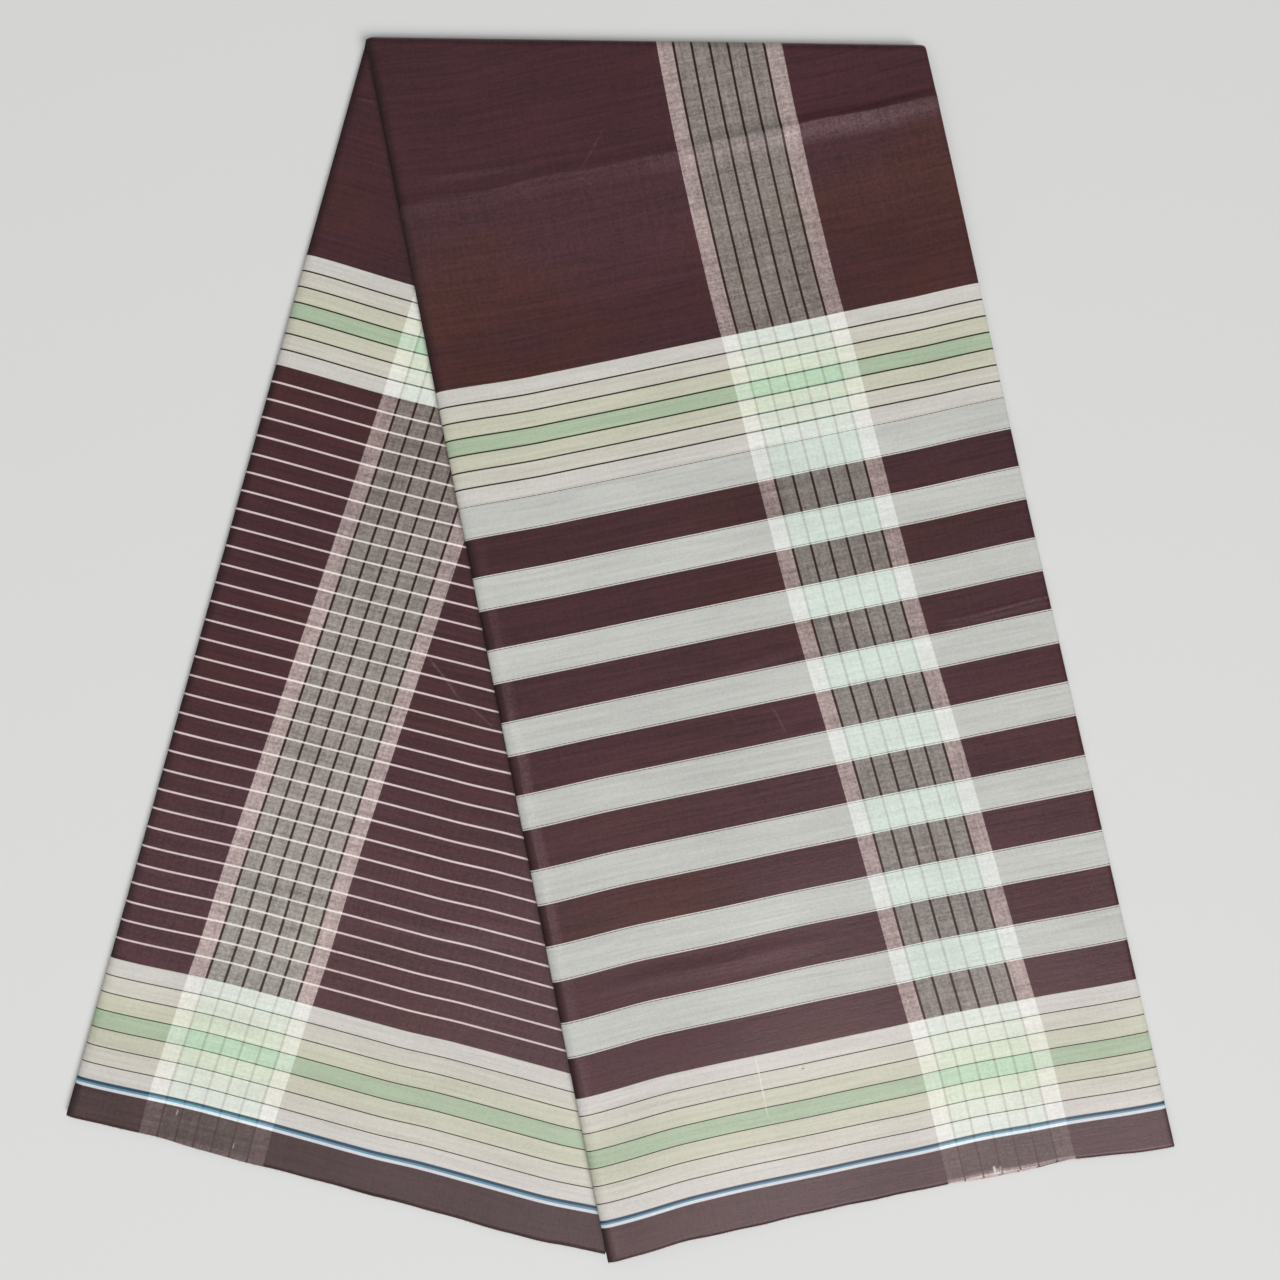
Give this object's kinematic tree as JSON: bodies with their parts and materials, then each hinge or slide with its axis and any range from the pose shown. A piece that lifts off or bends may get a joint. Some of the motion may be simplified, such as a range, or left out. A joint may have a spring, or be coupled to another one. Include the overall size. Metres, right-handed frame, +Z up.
{
  "type": "longyi sarong, folded flat",
  "caption": "Cotton tube sarong with woven stripes, pressed, halved into a thick strip and folded once across into two fanned leaves.",
  "frame": {"origin": "the middle of the floor box that the folded cloth covers, on the floor that it lies on", "axes": "+Z up out of the cloth, +Y towards the top fold, +X towards the open edge of the front leaf"},
  "size_m": [0.5484, 0.6204, 0.0097],
  "materials": {
    "front_cotton": "plain-woven reddish-brown cotton with broad grey-white, pink, cream and green stripes, pressed, slight sheen",
    "back_cotton": "plain-woven reddish-brown cotton with thin pinkish-white lines, pressed, slight sheen",
    "inner_cotton": "plain-woven reddish-brown cotton, matt"
  },
  "bodies": {
    "root": {"front_leaf_cloth": "front_cotton", "back_leaf_cloth": "back_cotton", "hidden_layers": "inner_cotton"}
  },
  "joints": []
}
